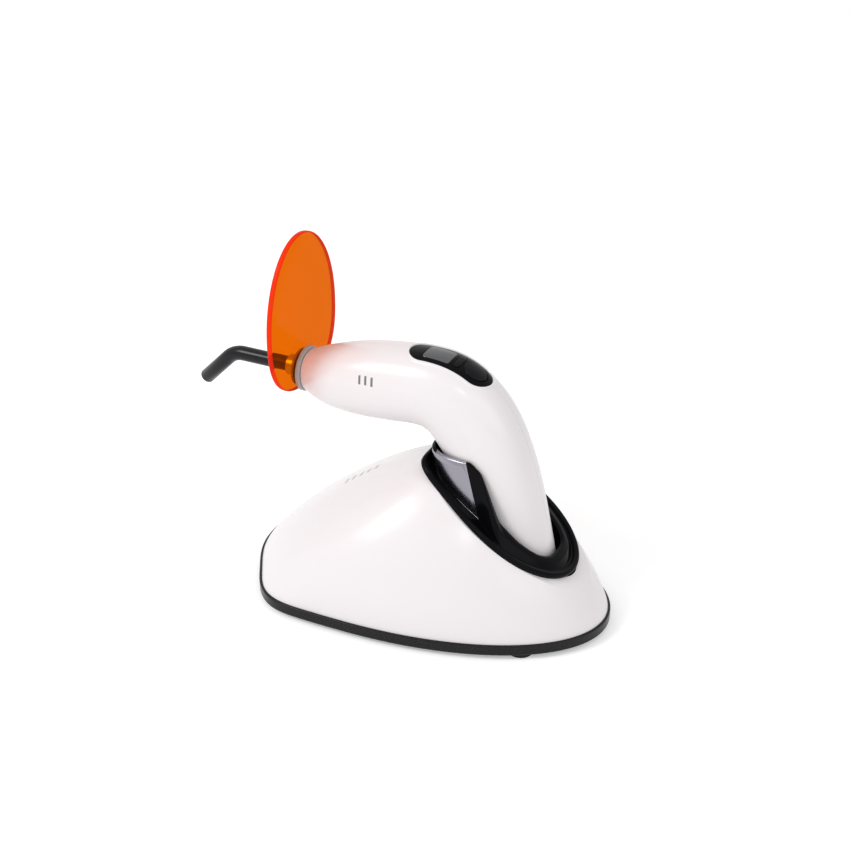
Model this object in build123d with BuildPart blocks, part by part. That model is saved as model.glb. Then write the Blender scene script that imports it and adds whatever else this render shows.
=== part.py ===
"""A dental curing light: a cordless handpiece that rests in its charging base.

Millimetres, +Z up. The light guide points along -X, and the outside is symmetric about Y = 0.
Pieces are drawn from the middle of the base's outline and written with the origin on the table
under the middle of the whole object's length.
"""

from math import atan2, cos, degrees, exp, pi, radians, sin

from build123d import *
import os

# From the middle of the base's outline to the middle of the whole object
frame_shift = 20.7

# Base outline, seen from above
base_front = -100.0
base_rear = 100.0
base_middle = -25.0
base_half_width = 63.0
base_corner = 0.11
base_corner_angle = 58.0

# Heights of the base
foot_height = 2.5
rim_top = 8.5
dome_peak_x = 20.0
dome_top = 90.5
shell_inset = 1.4
shell_wall = 2.4

# Slanted cut that the cradle stands on
cradle_front_z = 86.0
cradle_slope = degrees(atan2(54.0, 81.0))
lip_front = -0.5
lip_rear = 96.5
lip_middle = 55.0
lip_half_width = 31.3
lip_corner = 0.12
lip_corner_angle = 33.0
lip_width = 6.0
lip_height = 3.6

# Handle axis, and the cup that the handle stands in
handle_lean = 15.0
handle_foot = (52.0, 26.0)
cup_front = -31.0
cup_rear = 24.6
cup_half_width = 21.3
cup_wall = 2.3
cup_floor = 3.0
cup_height = 84.0

# Handpiece
nose_x = -72.0
axis_z = 115.8
housing_wall = 2.8
cap_height = 4.0

# Control panel
panel_centre = (10.3, 139.5)
panel_slope = 8.6
panel_length = 46.0
panel_width = 19.0
panel_recess = 0.45
panel_ledge = 1.8
display_length = 15.0
display_width = 12.6
display_x = -6.8
mode_length = 3.6
mode_width = 12.0
mode_x = 4.4
power_radius = 6.3
power_x = 13.6
button_gap = 0.3

# Light guide and shield
guide_radius = 4.0
guide_bend_x = -113.2
guide_bend_radius = 14.0
guide_bend_angle = 45.0
guide_tip_length = 21.8
guide_start_x = -54.0
ferrule_radius = 5.6
ferrule_front_x = -85.4
ferrule_rear_x = -52.0
shield_x = -77.6
shield_thickness = 3.0
shield_half_width = 33.6
shield_top_z = 191.5
shield_middle_z = 143.0
shield_bottom_z = 106.5
hub_radius = 6.6
ring_front_radius = 10.0
ring_rear_radius = 12.2
ring_front_x = -79.4
ring_rear_x = -72.4

# Stations along the handpiece: place, direction of travel, half depth and half width
stations = [
    (nose_x, axis_z, 0.0, 10.8, 10.8),
    (-64.0, 115.6, 1.0, 14.2, 14.0),
    (-52.0, 116.3, 4.0, 17.4, 17.0),
    (-34.0, 118.5, 6.0, 19.7, 19.0),
    (-14.0, 120.8, 0.0, 20.3, 19.4),
    (8.0, 119.6, -24.0, 21.4, 19.2),
    (23.5, 106.5, -50.0, 22.8, 18.6),
    (32.0, 92.0, -66.0, 22.2, 18.0),
    (39.6, 71.5, -73.0, 21.3, 17.2),
    (46.1, 48.0, -75.0, 20.3, 16.4),
    (handle_foot[0], handle_foot[1], -75.0, 19.2, 15.4),
]


def soft_egg(front, middle, rear, half_width, corner, corner_angle, count=30):
    """Points of an egg along X: two half ellipses with one soft corner on each front side."""
    points = []
    for step in range(count):
        turn = 360.0 * step / count
        from_front = min(turn, 360.0 - turn)
        swell = 1.0 + corner * exp(-0.5 * ((from_front - corner_angle) / 12.0) ** 2)
        reach = middle - front if from_front < 90 else rear - middle
        points.append(
            (middle - reach * swell * cos(radians(turn)), half_width * swell * sin(radians(turn)))
        )
    return points


def superellipse(half_length, half_width, power, count=20, shift=0.0):
    """Points of an ellipse that grows squarer as its power rises above two."""
    points = []
    for step in range(count):
        turn = 2 * pi * step / count
        x = half_length * abs(cos(turn)) ** (2 / power) * (1 if cos(turn) >= 0 else -1)
        y = half_width * abs(sin(turn)) ** (2 / power) * (1 if sin(turn) >= 0 else -1)
        points.append((x + shift, y))
    return points


def closed_face(points):
    """A face inside one smooth closed curve through the points, in the sketch being drawn."""
    with BuildLine() as outline:
        Spline(*points, periodic=True)
    make_face(outline.edges())


def dome_outline(height, inset=0.0):
    """Outline of the dome at a height: the base outline drawn in towards the peak."""
    rise = (height - rim_top) / (dome_top - rim_top)
    along = (1 - rise**1.2) ** 0.75
    across = (1 - rise**2) ** 0.78
    front = dome_peak_x + (base_front + shell_inset - dome_peak_x) * along + inset
    rear = dome_peak_x + (base_rear - shell_inset - dome_peak_x) * along - inset
    middle = dome_peak_x + (base_middle - dome_peak_x) * along
    half_width = (base_half_width - shell_inset) * across - inset
    return soft_egg(front, middle, rear, half_width, base_corner * (1 - rise) ** 2, base_corner_angle)


dome_levels = [rim_top, 16.0, 26.0, 37.0, 48.0, 59.0, 69.0, 78.0, 86.0]
hollow_drop = 2.2
cradle_plane = Plane(
    origin=(0, 0, cradle_front_z),
    x_dir=(cos(radians(cradle_slope)), 0, -sin(radians(cradle_slope))),
    z_dir=(sin(radians(cradle_slope)), 0, cos(radians(cradle_slope))),
)
handle_up = (-sin(radians(handle_lean)), 0, cos(radians(handle_lean)))
handle_back = (cos(radians(handle_lean)), 0, sin(radians(handle_lean)))


def handle_plane(rise):
    """Plane across the handle's axis, a distance up it from the handle's foot; x points back."""
    origin = (handle_foot[0] + rise * handle_up[0], 0, handle_foot[1] + rise * handle_up[2])
    return Plane(origin=origin, x_dir=handle_back, z_dir=handle_up)


def station_plane(station):
    """Plane across the handpiece at a station: x along +Y, y towards the top or back."""
    x, z, heading, half_depth, half_width = station
    travel = (cos(radians(heading)), 0, sin(radians(heading)))
    return Plane(origin=(x, 0, z), x_dir=(0, 1, 0), z_dir=travel)


def handpiece_body(inset):
    """The handpiece's outer form, drawn in all round by an inset."""
    with BuildPart(mode=Mode.PRIVATE) as body:
        for station in stations:
            with BuildSketch(station_plane(station)):
                closed_face(superellipse(station[4] - inset, station[3] - inset, 2.25))
        loft()
    return body.part


def dome_body(inset, drop):
    """The dome's form, drawn in by an inset and lowered by a drop."""
    with BuildPart(mode=Mode.PRIVATE) as body:
        for level in dome_levels:
            with BuildSketch(Plane.XY.offset(level - drop)):
                closed_face(dome_outline(level, inset))
        loft()
    return body.part


def finish(builder, label):
    """Move a finished piece into the shared frame, label it and write its file."""
    piece = builder.part.moved(Location((frame_shift, 0, 0)))
    piece.label = label
    export_step(piece, f"parts/{label}.step")


os.makedirs("parts", exist_ok=True)

# Base shell: a hollow dome cut by the slanted plane, with four screw posts and the inlet's hole
post_places = [(-58.0, 30.0), (-58.0, -30.0), (48.0, 38.0), (48.0, -38.0)]
post_radius = 4.5
plate_top = 5.0
pilot_radius = 1.6
inlet_x = 18.0
inlet_z = 16.0
inlet_nose_radius = 5.0
cup_depth = (cup_rear - cup_front) / 2
cup_shift = (cup_rear + cup_front) / 2
cup_power = 2.7
cup_bottom = -cap_height - cup_floor
dome = dome_body(0.0, 0.0)
hollow = dome_body(shell_wall, hollow_drop)
with BuildPart() as screw_posts:
    with BuildSketch(Plane.XY.offset(rim_top)):
        with Locations(*post_places):
            Circle(post_radius)
    extrude(amount=60)
    add(dome, mode=Mode.INTERSECT)
    with BuildSketch(Plane.XY.offset(plate_top)):
        with Locations(*post_places):
            Circle(post_radius)
    extrude(amount=rim_top - plate_top)
with BuildPart() as base_shell:
    add(dome)
    add(hollow, mode=Mode.SUBTRACT)
    add(screw_posts.part)
    split(bisect_by=cradle_plane, keep=Keep.BOTTOM)
    with BuildSketch(handle_plane(cup_bottom)):
        closed_face(superellipse(cup_depth + 0.3, cup_half_width + 0.3, cup_power, shift=cup_shift))
    extrude(amount=cup_height, mode=Mode.SUBTRACT)
    with BuildSketch(Plane.XY.offset(plate_top)):
        with Locations(*post_places):
            Circle(pilot_radius)
    extrude(amount=14, mode=Mode.SUBTRACT)
    with BuildSketch(Plane.XZ):
        with Locations((inlet_x, inlet_z)):
            Circle(inlet_nose_radius + 0.3)
    extrude(amount=-80, mode=Mode.SUBTRACT)
finish(base_shell, "base_shell")

# Base plate: a shallow tray whose rim is the dark band round the base
rim_thickness = 4.0
foot_places = [(-57.0, 51.0), (-57.0, -51.0), (66.0, 34.0), (66.0, -34.0)]
foot_radius = 7.0
foot_recess = 0.8
screw_head_radius = 3.0
board_place = (-28.0, 0.0)
board_size = (56.0, 40.0)
board_height = 7.5
board_thickness = 1.6
boss_inset = 4.0
plate_outline = soft_egg(
    base_front, base_middle, base_rear, base_half_width, base_corner, base_corner_angle
)
pocket_outline = soft_egg(
    base_front + rim_thickness,
    base_middle,
    base_rear - rim_thickness,
    base_half_width - rim_thickness,
    base_corner,
    base_corner_angle,
)
with BuildPart() as base_plate:
    with BuildSketch(Plane.XY.offset(foot_height)):
        closed_face(plate_outline)
    extrude(amount=rim_top - foot_height)
    fillet(base_plate.edges().group_by(Axis.Z)[0], 1.0)
    fillet(base_plate.edges().group_by(Axis.Z)[-1], 0.6)
    with BuildSketch(Plane.XY.offset(plate_top)):
        closed_face(pocket_outline)
    extrude(amount=rim_top, mode=Mode.SUBTRACT)
    with BuildSketch(Plane.XY.offset(plate_top)):
        with Locations(board_place):
            with GridLocations(board_size[0] - 2 * boss_inset, board_size[1] - 2 * boss_inset, 2, 2):
                Circle(2.5)
    extrude(amount=board_height - plate_top)
    with BuildSketch(Plane.XY.offset(foot_height)):
        with Locations(*foot_places):
            Circle(foot_radius)
    extrude(amount=foot_recess, mode=Mode.SUBTRACT)
    with BuildSketch(Plane.XY.offset(foot_height)):
        with Locations(*post_places):
            Circle(screw_head_radius + 0.3)
    extrude(amount=1.4, mode=Mode.SUBTRACT)
    with BuildSketch(Plane.XY.offset(foot_height)):
        with Locations(*post_places):
            Circle(pilot_radius)
    extrude(amount=10, mode=Mode.SUBTRACT)
finish(base_plate, "base_plate")

# Rubber feet: four domed discs in recesses under the plate
with BuildPart() as rubber_feet:
    with BuildSketch():
        with Locations(*foot_places):
            Circle(foot_radius)
    extrude(amount=foot_height + foot_recess)
    fillet(rubber_feet.edges().group_by(Axis.Z)[0], 0.8)
finish(rubber_feet, "rubber_feet")

# Base screws: pan heads with a cross slot, up through the plate into the posts
with BuildPart() as base_screws:
    with BuildSketch(Plane.XY.offset(foot_height + 0.1)):
        with Locations(*post_places):
            Circle(screw_head_radius)
    extrude(amount=1.3)
    with BuildSketch(Plane.XY.offset(foot_height + 1.4)):
        with Locations(*post_places):
            Circle(pilot_radius - 0.1)
    extrude(amount=12)
    with BuildSketch(Plane.XY.offset(foot_height + 0.1)):
        with Locations(*post_places):
            Rectangle(3.4, 0.8)
            Rectangle(0.8, 3.4)
    extrude(amount=0.8, mode=Mode.SUBTRACT)
finish(base_screws, "base_screws")

# Cradle: a lip on the slanted cut, a web inside it, and the cup with its raised front cheeks
web_thickness = 1.4
pin_spacing = 10.0
pin_radius = 1.0
pin_hole_radius = 1.35
cheek_top = (34.0, 96.6)
cheek_foot = (47.5, 62.5)
with BuildPart() as cup_bore:
    with BuildSketch(handle_plane(-cap_height)):
        closed_face(
            superellipse(cup_depth - cup_wall, cup_half_width - cup_wall, cup_power, shift=cup_shift)
        )
    extrude(amount=cup_height + 20)
with BuildPart() as above_cup:
    with BuildSketch(Plane.XZ) as rim_profile:
        with BuildLine():
            Polyline(
                (-30, 87.0),
                (8, 90.5),
                cheek_top,
                cheek_foot,
                (72, 45.5),
                (110, 20.0),
                (110, 140),
                (-30, 140),
                close=True,
            )
        make_face()
        fillet(rim_profile.vertices().sort_by_distance((*cheek_top, 0))[0], 6.0)
        fillet(rim_profile.vertices().sort_by_distance((*cheek_foot, 0))[0], 14.0)
    extrude(amount=60, both=True)


def lip_outline(inset):
    """Outline of the cradle's lip in its slanted plane, drawn in by an inset."""
    return soft_egg(
        lip_front + inset,
        lip_middle,
        lip_rear - inset,
        lip_half_width - inset,
        lip_corner,
        lip_corner_angle,
    )


with BuildPart() as cup_body:
    with BuildSketch(handle_plane(cup_bottom)):
        closed_face(superellipse(cup_depth, cup_half_width, cup_power, shift=cup_shift))
    extrude(amount=cup_height)
    add(above_cup.part, mode=Mode.SUBTRACT)
with BuildPart() as cradle:
    with BuildSketch(cradle_plane):
        closed_face(lip_outline(0.0))
    extrude(amount=lip_height)
    top_face = cradle.faces().sort_by(Axis(cradle_plane.origin, cradle_plane.z_dir))[-1]
    fillet(top_face.edges(), 1.5)
    with BuildSketch(cradle_plane.offset(web_thickness)):
        closed_face(lip_outline(lip_width))
    extrude(amount=lip_height, mode=Mode.SUBTRACT)
    add(cup_body.part)
    add(cup_bore.part, mode=Mode.SUBTRACT)
    with BuildSketch(handle_plane(cup_bottom)):
        with GridLocations(0, pin_spacing, 1, 2):
            Circle(pin_hole_radius)
    extrude(amount=cup_floor, mode=Mode.SUBTRACT)
finish(cradle, "cradle")

# Contact block under the cup's floor, with the sprung charging pins and their springs
flange_radius = 1.7
flange_top = -7.3
flange_bottom = -8.8
spring_bottom = -12.6
block_bottom = -15.0
block_size = (8.0, 20.0)
with BuildPart() as contact_block:
    with BuildSketch(handle_plane(block_bottom)):
        Rectangle(*block_size)
    extrude(amount=cup_bottom - block_bottom)
    with BuildSketch(handle_plane(spring_bottom - 1.2)):
        with GridLocations(0, pin_spacing, 1, 2):
            Circle(flange_radius + 0.3)
    extrude(amount=20, mode=Mode.SUBTRACT)
finish(contact_block, "contact_block")

for side, name in ((-1, "left"), (1, "right")):
    with BuildPart() as charging_pin:
        with BuildSketch(handle_plane(flange_bottom)):
            with Locations((0, side * pin_spacing / 2)):
                Circle(flange_radius)
        extrude(amount=flange_top - flange_bottom)
        with BuildSketch(handle_plane(flange_top)):
            with Locations((0, side * pin_spacing / 2)):
                Circle(pin_radius)
        extrude(amount=-cap_height - flange_top)
    finish(charging_pin, f"charging_pin_{name}")
    with BuildPart() as pin_spring:
        with BuildSketch(handle_plane(spring_bottom)):
            with Locations((0, side * pin_spacing / 2)):
                Circle(flange_radius - 0.1)
                Circle(flange_radius - 0.6, mode=Mode.SUBTRACT)
        extrude(amount=flange_bottom - spring_bottom)
    finish(pin_spring, f"pin_spring_{name}")

# Charging board on four bosses, with its larger components
with BuildPart() as charge_board:
    with BuildSketch(Plane.XY.offset(board_height)):
        with Locations(board_place):
            Rectangle(*board_size)
    extrude(amount=board_thickness)
finish(charge_board, "charge_board")

board_top = board_height + board_thickness
with BuildPart() as board_components:
    with BuildSketch(Plane.XY.offset(board_top)):
        with Locations((board_place[0] - 18, 9)):
            Circle(5.0)
        with Locations((board_place[0] - 18, -8)):
            Rectangle(12, 12)
    extrude(amount=9)
    with BuildSketch(Plane.XY.offset(board_top)):
        with Locations((board_place[0] + 4, 0)):
            Rectangle(9, 9)
        with Locations((board_place[0] + 19, 8)):
            Rectangle(6, 14)
    extrude(amount=2)
finish(board_components, "board_components")

# Power inlet: a jack on the far side, low down, with its barrel and centre pin
inlet_back_y = 40.0
inlet_body_y = 50.0
inlet_face_y = 57.2
with BuildPart() as power_inlet:
    with BuildSketch(Plane.XY.offset(plate_top)):
        with Locations((inlet_x, (inlet_back_y + inlet_body_y) / 2)):
            Rectangle(13, inlet_body_y - inlet_back_y)
    extrude(amount=18)
    with BuildSketch(Plane.XZ.offset(-inlet_body_y)):
        with Locations((inlet_x, inlet_z)):
            Circle(inlet_nose_radius)
    extrude(amount=inlet_body_y - inlet_face_y)
    with BuildSketch(Plane.XZ.offset(-inlet_face_y)):
        with Locations((inlet_x, inlet_z)):
            Circle(2.8)
            Circle(1.0, mode=Mode.SUBTRACT)
    extrude(amount=10, mode=Mode.SUBTRACT)
finish(power_inlet, "power_inlet")

# Handpiece housing: the hollow form with its ribs, screw bosses and control panel seat
panel_plane = Plane(
    origin=(panel_centre[0], 0, panel_centre[1]),
    x_dir=(cos(radians(panel_slope)), 0, -sin(radians(panel_slope))),
    z_dir=(sin(radians(panel_slope)), 0, cos(radians(panel_slope))),
)
sleeve_radius = 7.9
sink_radius = 11.0
cell_radius = 9.1
cell_foot = 12.0
cell_length = 65.0
boss_places = [(-20.0, 104.5), (40.5, 108.0), (49.9, 33.7)]
boss_radius = 2.6
screw_radius = 1.2
screw_head_y = 9.0
body = handpiece_body(0.0)
body_hollow = handpiece_body(housing_wall)
body_seat = handpiece_body(panel_ledge)
body_panel = handpiece_body(panel_recess)
body_ribs = handpiece_body(1.0)
with BuildPart() as panel_pocket:
    with BuildSketch(panel_plane.offset(-12)):
        SlotOverall(panel_length + 0.2, panel_width + 0.2)
    extrude(amount=20)
    add(body_seat, mode=Mode.SUBTRACT)
with BuildPart() as housing_ribs:
    with BuildSketch(Plane.YZ.offset(-62)):
        with Locations((0, axis_z)):
            Circle(20)
            Circle(sleeve_radius, mode=Mode.SUBTRACT)
    extrude(amount=2)
    with BuildSketch(Plane.YZ.offset(-36)):
        with Locations((0, axis_z)):
            Circle(30)
            Circle(sink_radius, mode=Mode.SUBTRACT)
    extrude(amount=2)
    for rise in (22.0, 62.0):
        with BuildSketch(handle_plane(rise)):
            Circle(30)
            Circle(cell_radius, mode=Mode.SUBTRACT)
        extrude(amount=2)
    with BuildSketch(Plane.XZ):
        with Locations(*boss_places):
            Circle(boss_radius)
    extrude(amount=30, both=True)
    add(body_ribs, mode=Mode.INTERSECT)
with BuildPart() as housing:
    add(body)
    add(body_hollow, mode=Mode.SUBTRACT)
    add(housing_ribs.part)
    add(panel_pocket.part, mode=Mode.SUBTRACT)
    with BuildSketch(panel_plane.offset(-6)):
        SlotOverall(panel_length - 4, panel_width - 4)
    extrude(amount=12, mode=Mode.SUBTRACT)
    with BuildSketch(Plane.XZ.offset(8.5)):
        with Locations(*boss_places):
            Circle(screw_radius + 0.1)
    extrude(amount=-20, mode=Mode.SUBTRACT)
    with BuildSketch(Plane.XZ.offset(-screw_head_y)):
        with Locations(*boss_places):
            Circle(boss_radius - 0.1)
    extrude(amount=-20, mode=Mode.SUBTRACT)
with BuildPart() as left_housing:
    add(housing.part)
    split(bisect_by=Plane.XZ, keep=Keep.TOP)
finish(left_housing, "left_housing")
with BuildPart() as right_housing:
    add(housing.part)
    split(bisect_by=Plane.XZ, keep=Keep.BOTTOM)
finish(right_housing, "right_housing")

# Housing screws, driven from the far side
with BuildPart() as housing_screws:
    with BuildSketch(Plane.XZ.offset(8.3)):
        with Locations(*boss_places):
            Circle(screw_radius)
    extrude(amount=-8.3 - screw_head_y)
    with BuildSketch(Plane.XZ.offset(-screw_head_y)):
        with Locations(*boss_places):
            Circle(boss_radius - 0.3)
    extrude(amount=-1.6)
    with BuildSketch(Plane.XZ.offset(-screw_head_y - 0.8)):
        with Locations(*boss_places):
            Rectangle(3.0, 0.6)
            Rectangle(0.6, 3.0)
    extrude(amount=-1, mode=Mode.SUBTRACT)
finish(housing_screws, "housing_screws")

# Control panel: a curved plate set into the housing, open for the display and two buttons
with BuildPart() as panel_openings:
    with BuildSketch(panel_plane.offset(-12)):
        with Locations((display_x, 0)):
            RectangleRounded(display_length, display_width, 1.2)
        with Locations((mode_x, 0)):
            SlotOverall(mode_width + 2 * button_gap, mode_length + 2 * button_gap, rotation=90)
        with Locations((power_x, 0)):
            Circle(power_radius + button_gap)
    extrude(amount=20)
with BuildPart() as control_panel:
    with BuildSketch(panel_plane.offset(-12)):
        SlotOverall(panel_length, panel_width)
    extrude(amount=20)
    add(body_panel, mode=Mode.INTERSECT)
    add(body_seat, mode=Mode.SUBTRACT)
    add(panel_openings.part, mode=Mode.SUBTRACT)
finish(control_panel, "control_panel")

with BuildPart() as display_window:
    with BuildSketch(panel_plane.offset(-12)):
        with Locations((display_x, 0)):
            RectangleRounded(display_length, display_width, 1.2)
    extrude(amount=20)
    add(body_panel, mode=Mode.INTERSECT)
    add(body_seat, mode=Mode.SUBTRACT)
finish(display_window, "display_window")

# Buttons: straight caps, a little proud of the panel
button_foot = -4.9
button_proud = 0.15
body_button = handpiece_body(panel_recess - button_proud)
with BuildPart() as power_button:
    with BuildSketch(panel_plane.offset(button_foot)):
        with Locations((power_x, 0)):
            Circle(power_radius)
    extrude(amount=10)
    add(body_button, mode=Mode.INTERSECT)
finish(power_button, "power_button")

with BuildPart() as mode_button:
    with BuildSketch(panel_plane.offset(button_foot)):
        with Locations((mode_x, 0)):
            SlotOverall(mode_width, mode_length, rotation=90)
    extrude(amount=10)
    add(body_button, mode=Mode.INTERSECT)
finish(mode_button, "mode_button")

# Boards and parts under the panel: main board, display, button switches and buzzer
main_board_top = -8.4
main_board_thickness = 1.6
with BuildPart() as main_board:
    with BuildSketch(panel_plane.offset(main_board_top - main_board_thickness)):
        with Locations((-2, 0)):
            Rectangle(40, 20)
    extrude(amount=main_board_thickness)
finish(main_board, "main_board")

with BuildPart() as display_module:
    with BuildSketch(panel_plane.offset(main_board_top)):
        with Locations((display_x, 0)):
            Rectangle(17, 14)
    extrude(amount=4.6)
finish(display_module, "display_module")

switch_top = -5.7
with BuildPart() as button_switches:
    with BuildSketch(panel_plane.offset(main_board_top)):
        with Locations((mode_x + 0.6, 0)):
            Rectangle(4.5, 6)
        with Locations((power_x, 0)):
            Rectangle(6, 6)
    extrude(amount=1.8)
    with BuildSketch(panel_plane.offset(main_board_top + 1.8)):
        with Locations((mode_x, 0), (power_x, 0)):
            Circle(1.5)
    extrude(amount=switch_top - main_board_top - 1.8)
finish(button_switches, "button_switches")

with BuildPart() as buzzer:
    with BuildSketch(panel_plane.offset(main_board_top - main_board_thickness)):
        with Locations((-12, 0)):
            Circle(6)
    extrude(amount=-4)
    with BuildSketch(panel_plane.offset(main_board_top - main_board_thickness - 4)):
        with Locations((-12, 0)):
            Circle(1)
    extrude(amount=0.8, mode=Mode.SUBTRACT)
finish(buzzer, "buzzer")


def along_guide(x):
    """Plane across the guide's axis at a place along it; it is drawn towards +X."""
    return Plane.YZ.offset(x)


# Guide socket: a metal sleeve in the nose, with a groove for the clip that grips the guide
socket_front_x = -72.0
socket_rear_x = -50.0
socket_bore = 5.75
groove_radius = 6.6
groove_front_x = -62.0
groove_rear_x = -60.5
axis_place = (0, axis_z)
with BuildPart() as guide_socket:
    with BuildSketch(along_guide(socket_front_x)):
        with Locations(axis_place):
            Circle(sleeve_radius)
            Circle(socket_bore, mode=Mode.SUBTRACT)
    extrude(amount=socket_rear_x - socket_front_x)
    with BuildSketch(along_guide(groove_front_x)):
        with Locations(axis_place):
            Circle(groove_radius)
    extrude(amount=groove_rear_x - groove_front_x, mode=Mode.SUBTRACT)
finish(guide_socket, "guide_socket")

with BuildPart() as guide_clip:
    with BuildSketch(along_guide(groove_front_x + 0.1)):
        with Locations(axis_place):
            Circle(groove_radius - 0.15)
            Circle(ferrule_radius + 0.06, mode=Mode.SUBTRACT)
    extrude(amount=groove_rear_x - groove_front_x - 0.2)
finish(guide_clip, "guide_clip")

# Light guide: a glass rod that turns down near its tip, in a metal ferrule with a sealing ring
seal_front_x = -68.7
seal_width = 1.4
seal_groove_radius = 5.0
with BuildPart() as light_guide:
    with BuildLine(Plane.XZ):
        straight = Line((guide_start_x, axis_z), (guide_bend_x, axis_z))
        bend = JernArc(straight @ 1, straight % 1, guide_bend_radius, guide_bend_angle)
        Line(bend @ 1, bend @ 1 + (bend % 1) * guide_tip_length)
    with BuildSketch(along_guide(guide_start_x)):
        with Locations(axis_place):
            Circle(guide_radius)
    sweep()
finish(light_guide, "light_guide")

with BuildPart() as guide_ferrule:
    with BuildSketch(along_guide(ferrule_front_x)):
        with Locations(axis_place):
            Circle(ferrule_radius)
    extrude(amount=ferrule_rear_x - ferrule_front_x)
    chamfer(guide_ferrule.edges().group_by(Axis.X)[0], 0.5)
    with BuildSketch(along_guide(ferrule_front_x)):
        with Locations(axis_place):
            Circle(guide_radius + 0.03)
    extrude(amount=ferrule_rear_x - ferrule_front_x, mode=Mode.SUBTRACT)
    with BuildSketch(along_guide(seal_front_x)):
        with Locations(axis_place):
            Circle(ferrule_radius + 1)
            Circle(seal_groove_radius, mode=Mode.SUBTRACT)
    extrude(amount=seal_width, mode=Mode.SUBTRACT)
finish(guide_ferrule, "guide_ferrule")

with BuildPart() as seal_ring:
    with BuildSketch(along_guide(seal_front_x)):
        with Locations(axis_place):
            Circle(socket_bore - 0.03)
            Circle(seal_groove_radius, mode=Mode.SUBTRACT)
    extrude(amount=seal_width)
finish(seal_ring, "seal_ring")

# Light engine: emitter module and lens behind the guide, and a finned sink behind them
with BuildPart() as led_module:
    with BuildSketch(along_guide(-48.0)):
        with Locations(axis_place):
            Circle(8)
    extrude(amount=1.6)
finish(led_module, "led_module")

with BuildPart() as led_lens:
    with BuildSketch(along_guide(-50.2)):
        with Locations(axis_place):
            Circle(4.5)
    extrude(amount=2.2)
    fillet(led_lens.edges().group_by(Axis.X)[0], 1.8)
finish(led_lens, "led_lens")

fin_pitch = 3.2
with BuildPart() as heat_sink:
    with BuildSketch(along_guide(-46.4)):
        with Locations(axis_place):
            Circle(6)
    extrude(amount=22.4)
    for fin in range(7):
        with BuildSketch(along_guide(-46.4 + fin * fin_pitch)):
            with Locations(axis_place):
                Circle(sink_radius)
        extrude(amount=1.4)
finish(heat_sink, "heat_sink")

# Power cell along the handle, and a spring contact disc at each end of it
with BuildPart() as power_cell:
    with BuildSketch(handle_plane(cell_foot)):
        Circle(cell_radius)
    extrude(amount=cell_length)
    fillet(power_cell.edges(), 0.8)
finish(power_cell, "power_cell")

contact_thickness = 1.0
with BuildPart() as cell_contacts:
    for rise in (cell_foot - contact_thickness, cell_foot + cell_length):
        with BuildSketch(handle_plane(rise)):
            Circle(6)
        extrude(amount=contact_thickness)
finish(cell_contacts, "cell_contacts")

# End cap: closes the handle's foot with a plug, and carries the two charging pads
plug_inset = 3.0
pad_radius = 3.0
pad_thickness = 0.6
with BuildPart() as end_cap:
    with BuildSketch(handle_plane(-cap_height)):
        closed_face(superellipse(stations[-1][3], stations[-1][4], 2.25))
    extrude(amount=cap_height)
    fillet(end_cap.faces().sort_by(Axis((0, 0, 0), handle_up))[0].edges(), 1.2)
    with BuildSketch(handle_plane(0)):
        closed_face(superellipse(stations[-1][3] - plug_inset, stations[-1][4] - plug_inset, 2.25))
    extrude(amount=4)
    with BuildSketch(handle_plane(-cap_height)):
        with GridLocations(0, pin_spacing, 1, 2):
            Circle(pad_radius)
    extrude(amount=pad_thickness, mode=Mode.SUBTRACT)
finish(end_cap, "end_cap")

with BuildPart() as charging_pads:
    with BuildSketch(handle_plane(-cap_height)):
        with GridLocations(0, pin_spacing, 1, 2):
            Circle(pad_radius)
    extrude(amount=pad_thickness)
finish(charging_pads, "charging_pads")


def shield_outline(count=40):
    """Points of the shield: half an ellipse above its widest height, a squarer half below."""
    points = []
    for step in range(count):
        turn = 2 * pi * step / count
        upper = sin(turn) >= 0
        power = 2.0 if upper else 2.5
        reach = shield_top_z - shield_middle_z if upper else shield_bottom_z - shield_middle_z
        side = 1 if cos(turn) >= 0 else -1
        y = shield_half_width * side * abs(cos(turn)) ** (2 / power)
        points.append((y, shield_middle_z + reach * abs(sin(turn)) ** (2 / power)))
    return points


# Shield: a clear tinted egg-shaped plate held in a rubber ring that turns on the guide
with BuildPart() as light_shield:
    with BuildSketch(along_guide(shield_x)):
        closed_face(shield_outline())
    extrude(amount=shield_thickness)
    fillet(light_shield.edges(), 0.9)
    with BuildSketch(along_guide(shield_x)):
        with Locations(axis_place):
            Circle(hub_radius + 0.05)
    extrude(amount=shield_thickness, mode=Mode.SUBTRACT)
finish(light_shield, "light_shield")

with BuildPart() as shield_ring:
    with BuildSketch(along_guide(ring_front_x)):
        with Locations(axis_place):
            Circle(hub_radius)
    extrude(amount=ring_rear_x - ring_front_x)
    with BuildSketch(along_guide(ring_front_x)):
        with Locations(axis_place):
            Circle(ring_front_radius)
    extrude(amount=shield_x - ring_front_x)
    with BuildSketch(along_guide(shield_x + shield_thickness)):
        with Locations(axis_place):
            Circle(ring_rear_radius)
    extrude(amount=ring_rear_x - shield_x - shield_thickness)
    fillet(shield_ring.edges().group_by(Axis.X)[0], 0.7)
    fillet(shield_ring.edges().group_by(Axis.X)[-1], 0.7)
    with BuildSketch(along_guide(ring_front_x)):
        with Locations(axis_place):
            Circle(ferrule_radius + 0.15)
    extrude(amount=ring_rear_x - ring_front_x, mode=Mode.SUBTRACT)
finish(shield_ring, "shield_ring")
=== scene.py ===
"""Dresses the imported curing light: smooth shells, glossy cradle, tinted shield, panel and finishes."""

import math

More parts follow.
